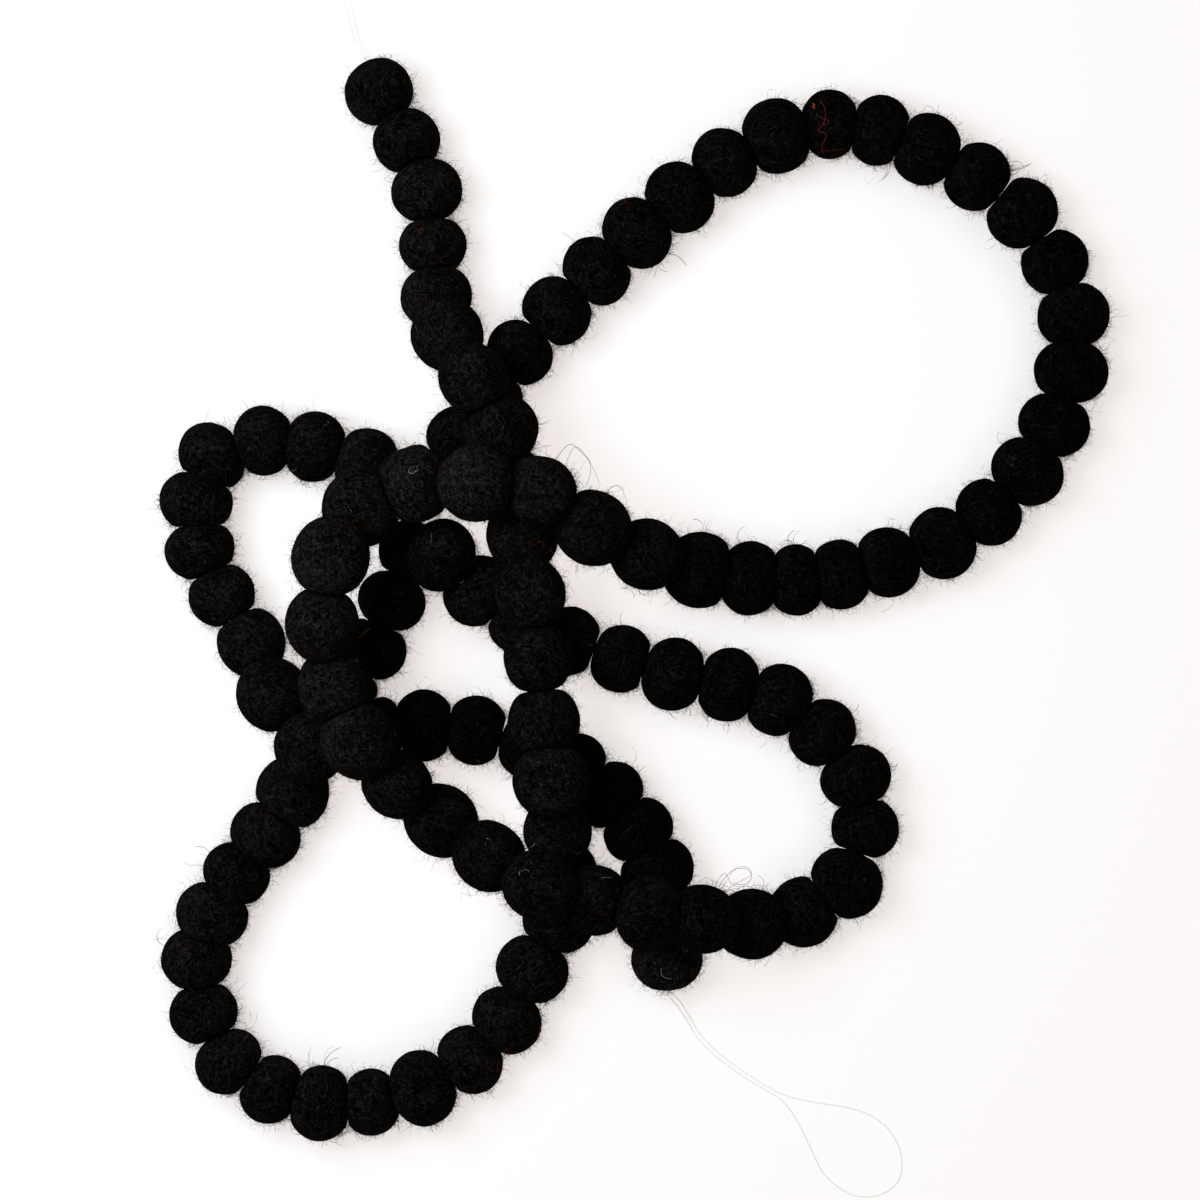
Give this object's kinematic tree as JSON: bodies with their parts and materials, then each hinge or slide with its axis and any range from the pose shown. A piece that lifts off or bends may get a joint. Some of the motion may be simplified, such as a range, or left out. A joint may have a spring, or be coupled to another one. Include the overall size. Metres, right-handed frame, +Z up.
{
  "type": "felt ball garland",
  "caption": "Long string of round wool-felt balls threaded tight on thin thread, lying in loose crossing loops, with a thread loop past its last ball and free thread ends past its first.",
  "frame": {"origin": "on the surface that the garland rests on, under the middle of the balls' box; the thread that shows past the end balls isn't counted", "axes": "+Z up from the surface; +Y along the longer side of the lying garland, towards the ball with the two free thread ends; +X towards the large loop's far side"},
  "size_m": [0.2959, 0.3946, 0.0598],
  "materials": {
    "felt": "near-black wet-felted wool, matt, with fine grey fibres and stray hairs",
    "thread": "thin undyed cotton sewing thread, matt, lightly twisted"
  },
  "bodies": {
    "root": {"ball_run_01": "felt", "ball_run_02": "felt", "ball_run_03": "felt", "ball_run_04": "felt", "ball_run_05": "felt", "ball_run_06": "felt", "ball_run_07": "felt", "ball_run_08": "felt", "ball_run_09": "felt", "ball_run_10": "felt", "ball_run_11": "felt", "ball_run_12": "felt", "ball_run_13": "felt", "ball_run_14": "felt", "ball_run_15": "felt", "ball_run_16": "felt", "ball_run_17": "felt", "ball_run_18": "felt", "ball_run_19": "felt", "ball_run_20": "felt", "ball_run_21": "felt", "ball_run_22": "felt", "ball_run_23": "felt", "ball_run_24": "felt", "ball_run_25": "felt", "ball_run_26": "felt", "ball_run_27": "felt", "ball_run_28": "felt", "ball_run_29": "felt", "ball_run_30": "felt", "ball_run_31": "felt", "ball_run_32": "felt", "ball_run_33": "felt", "ball_run_34": "felt", "ball_run_35": "felt", "ball_run_36": "felt", "ball_run_37": "felt", "ball_run_38": "felt", "thread_end_left": "thread", "thread_end_right": "thread", "thread_loop": "thread"}
  },
  "joints": []
}
